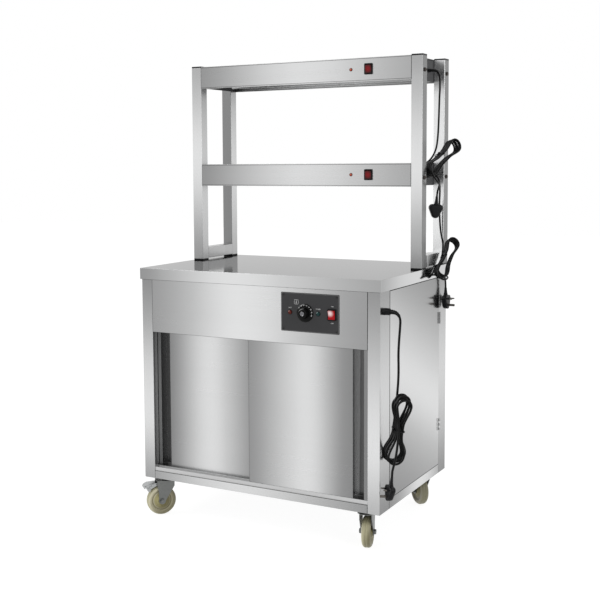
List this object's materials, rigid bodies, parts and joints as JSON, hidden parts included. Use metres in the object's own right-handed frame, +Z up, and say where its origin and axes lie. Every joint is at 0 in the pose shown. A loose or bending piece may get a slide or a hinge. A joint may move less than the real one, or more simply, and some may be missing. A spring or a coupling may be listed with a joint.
{
  "type": "heated serving trolley",
  "caption": "Heated serving trolley: cabinet with sliding front doors, side door and control panel on swivel castors, under a two-tier heating gantry with cords in hanks.",
  "frame": {"origin": "on the floor under the middle of the worktop", "axes": "+Z up, -Y to the front (the sliding doors), +X to the right seen from the front"},
  "size_m": [0.9984, 0.6483, 1.5813],
  "materials": {
    "stainless": "brushed, satin to mirror",
    "galvanised": "galvanised, dull",
    "element_steel": "dark sheathed tube",
    "control_black": "satin black",
    "black_plastic": "satin black",
    "bolt_black": "blackened",
    "red_switch": "translucent red",
    "red_lens": "translucent red",
    "green_lens": "translucent green",
    "quartz": "clear quartz with a coil inside",
    "zinc": "bright zinc plated",
    "nylon": "cream nylon",
    "cord_rubber": "black, soft sheen",
    "plug_black": "moulded black"
  },
  "bodies": {
    "trolley": {"back_panel": "stainless", "bottom_rail": "stainless", "cabinet_cord": "cord_rubber", "cabinet_floor": "stainless", "cabinet_hank": "cord_rubber", "cabinet_plug": "plug_black", "castor_plates": "zinc", "control_box": "galvanised", "control_plate": "control_black", "cord_clamps": "black_plastic", "door_tracks": "stainless", "fascia": "stainless", "fixed_hinges": "stainless", "front_left_post": "stainless", "front_right_post": "stainless", "gantry_side_left": "stainless", "gantry_side_right": "stainless", "green_lamp": "green_lens", "hank_ties": "black_plastic", "heating_element": "element_steel", "heating_tubes": "quartz", "inner_shelf": "stainless", "left_panel": "stainless", "mid_cord": "cord_rubber", "mid_hank": "cord_rubber", "mid_plug": "plug_black", "mid_shelf": "stainless", "post_end_plugs": "black_plastic", "rear_left_post": "stainless", "rear_right_post": "stainless", "red_lamps": "red_lens", "reflectors": "stainless", "screws_and_bolts": "bolt_black", "shelf_brackets": "stainless", "shelf_end_plates": "black_plastic", "side_rails": "stainless", "switch_housings": "black_plastic", "thermostat_body": "black_plastic", "top_cord": "cord_rubber", "top_hank": "cord_rubber", "top_plug": "plug_black", "top_shelf": "stainless", "worktop": "stainless"},
    "left_door": {"left_sliding_door": "stainless"},
    "right_door": {"right_sliding_door": "stainless"},
    "side_door": {"side_door": "stainless"},
    "dial": {"thermostat_dial": "black_plastic"},
    "cabinet_switch_key": {"cabinet_rocker": "red_switch"},
    "mid_switch_key": {"mid_shelf_rocker": "red_switch"},
    "top_switch_key": {"top_shelf_rocker": "red_switch"},
    "castor_front_left": {"fork_front_left": "zinc"},
    "roller_front_left": {"wheel_front_left": "nylon"},
    "castor_front_right": {"fork_front_right": "zinc"},
    "roller_front_right": {"wheel_front_right": "nylon"},
    "castor_rear_left": {"fork_rear_left": "zinc"},
    "roller_rear_left": {"wheel_rear_left": "nylon"},
    "castor_rear_right": {"fork_rear_right": "zinc"},
    "roller_rear_right": {"wheel_rear_right": "nylon"},
    "brake_front_left": {"brake_pedal_front_left": "zinc"},
    "brake_front_right": {"brake_pedal_front_right": "zinc"}
  },
  "joints": [
    {"name": "left_door_slide", "type": "slide", "parent": "trolley", "child": "left_door", "axis": [1, 0, 0], "range_m": [0, 0.315]},
    {"name": "right_door_slide", "type": "slide", "parent": "trolley", "child": "right_door", "axis": [1, 0, 0], "range_m": [-0.315, 0]},
    {"name": "side_door_hinge", "type": "hinge", "parent": "trolley", "child": "side_door", "pos_m": [0.4483, 0.22525, 0.497], "axis": [0, 0, 1], "range_deg": [0, 90]},
    {"name": "thermostat_turn", "type": "hinge", "parent": "trolley", "child": "dial", "pos_m": [0.189, -0.297, 0.753], "axis": [0, 1, 0], "range_deg": [0, 300]},
    {"name": "cabinet_switch", "type": "hinge", "parent": "trolley", "child": "cabinet_switch_key", "pos_m": [0.283, -0.2948, 0.753], "axis": [1, 0, 0], "range_deg": [-12, 0]},
    {"name": "mid_shelf_switch", "type": "hinge", "parent": "trolley", "child": "mid_switch_key", "pos_m": [0.257, 0.0452, 1.186], "axis": [1, 0, 0], "range_deg": [-12, 0]},
    {"name": "top_shelf_switch", "type": "hinge", "parent": "trolley", "child": "top_switch_key", "pos_m": [0.257, 0.0452, 1.54], "axis": [1, 0, 0], "range_deg": [-12, 0]},
    {"name": "swivel_front_left", "type": "hinge", "parent": "trolley", "child": "castor_front_left", "pos_m": [-0.38, -0.248, 0.12], "axis": [0, 0, 1], "continuous": true},
    {"name": "roll_front_left", "type": "hinge", "parent": "castor_front_left", "child": "roller_front_left", "pos_m": [-0.39773, -0.26702, 0.051], "axis": [0.7314, -0.682, 0], "continuous": true},
    {"name": "pedal_front_left", "type": "hinge", "parent": "castor_front_left", "child": "brake_front_left", "pos_m": [-0.40592, -0.27579, 0.109], "axis": [0.7314, -0.682, 0], "range_deg": [0, 6.5]},
    {"name": "swivel_front_right", "type": "hinge", "parent": "trolley", "child": "castor_front_right", "pos_m": [0.38, -0.248, 0.12], "axis": [0, 0, 1], "continuous": true},
    {"name": "roll_front_right", "type": "hinge", "parent": "castor_front_right", "child": "roller_front_right", "pos_m": [0.37349, -0.22283, 0.051], "axis": [-0.9681, -0.2504, 0], "continuous": true},
    {"name": "pedal_front_right", "type": "hinge", "parent": "castor_front_right", "child": "brake_front_right", "pos_m": [0.37049, -0.21121, 0.109], "axis": [-0.9681, -0.2504, 0], "range_deg": [0, 6.5]},
    {"name": "swivel_rear_left", "type": "hinge", "parent": "trolley", "child": "castor_rear_left", "pos_m": [-0.38, 0.248, 0.12], "axis": [0, 0, 1], "continuous": true},
    {"name": "roll_rear_left", "type": "hinge", "parent": "castor_rear_left", "child": "roller_rear_left", "pos_m": [-0.39221, 0.27096, 0.051], "axis": [-0.8829, -0.4695, 0], "continuous": true},
    {"name": "swivel_rear_right", "type": "hinge", "parent": "trolley", "child": "castor_rear_right", "pos_m": [0.38, 0.248, 0.12], "axis": [0, 0, 1], "continuous": true},
    {"name": "roll_rear_right", "type": "hinge", "parent": "castor_rear_right", "child": "roller_rear_right", "pos_m": [0.3613, 0.26606, 0.051], "axis": [-0.6947, -0.7193, 0], "continuous": true}
  ]
}
